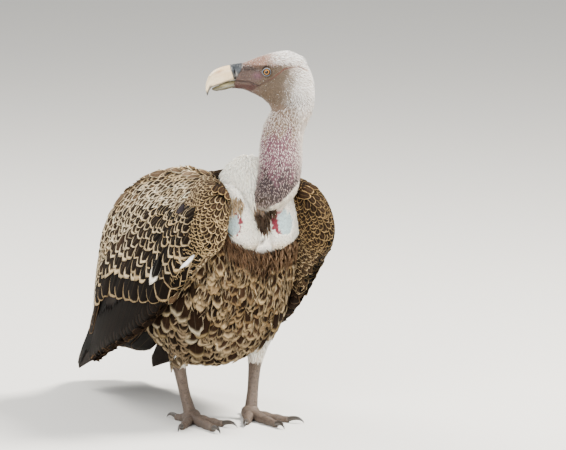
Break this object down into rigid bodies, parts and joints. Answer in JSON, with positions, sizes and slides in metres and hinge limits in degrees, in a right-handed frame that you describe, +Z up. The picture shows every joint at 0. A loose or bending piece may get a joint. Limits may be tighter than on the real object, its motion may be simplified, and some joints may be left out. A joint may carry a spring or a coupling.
{
  "type": "standing rueppell's vulture (gyps rueppelli), life-size still model",
  "caption": "Life-size standing griffon vulture with folded wings, long bare neck, white ruff and hooked bill, looking over its right shoulder.",
  "frame": {"origin": "centre of the bird's whole bounding box, on the floor that its soles rest on", "axes": "+Z up; the bird faces -Y with its tail towards +Y, and its left side is +X"},
  "size_m": [0.2498, 0.6374, 0.5901],
  "materials": {
    "body_feathers": "dark brown contour feathers with pale buff fringes",
    "flight_feathers": "blackish brown flight feathers",
    "white_down": "thick white down of the ruff, the breast pads and the ankles",
    "bare_skin": "grey to mauve skin under sparse whitish down",
    "cere_skin": "smooth blue-grey skin round the nostrils",
    "bill_horn": "ivory horn, grey at the cutting edges",
    "claw_horn": "dark horn",
    "leg_scales": "grey-brown scaled skin",
    "eye": "amber iris with a dark pupil under a clear wet front"
  },
  "bodies": {
    "root": {"bill_lower": "bill_horn", "bill_upper": "bill_horn", "breast_pad_left": "white_down", "breast_pad_right": "white_down", "cere": "cere_skin", "claw_left_1": "claw_horn", "claw_left_2": "claw_horn", "claw_left_3": "claw_horn", "claw_left_4": "claw_horn", "claw_right_1": "claw_horn", "claw_right_2": "claw_horn", "claw_right_3": "claw_horn", "claw_right_4": "claw_horn", "eye_left": "eye", "eye_right": "eye", "foot_left": "leg_scales", "foot_right": "leg_scales", "head": "bare_skin", "neck_lower": "bare_skin", "neck_upper": "bare_skin", "ruff": "white_down", "tail": "flight_feathers", "tarsus_left": "leg_scales", "tarsus_right": "leg_scales", "thigh_left": "body_feathers", "thigh_right": "body_feathers", "toe_left_1": "leg_scales", "toe_left_2": "leg_scales", "toe_left_3": "leg_scales", "toe_left_4": "leg_scales", "toe_right_1": "leg_scales", "toe_right_2": "leg_scales", "toe_right_3": "leg_scales", "toe_right_4": "leg_scales", "trunk": "body_feathers", "wing_left_coverts": "body_feathers", "wing_left_hand": "flight_feathers", "wing_left_primaries": "flight_feathers", "wing_left_scapulars": "body_feathers", "wing_left_secondaries": "flight_feathers", "wing_left_wrist": "body_feathers", "wing_right_coverts": "body_feathers", "wing_right_hand": "flight_feathers", "wing_right_primaries": "flight_feathers", "wing_right_scapulars": "body_feathers", "wing_right_secondaries": "flight_feathers", "wing_right_wrist": "body_feathers"}
  },
  "joints": []
}
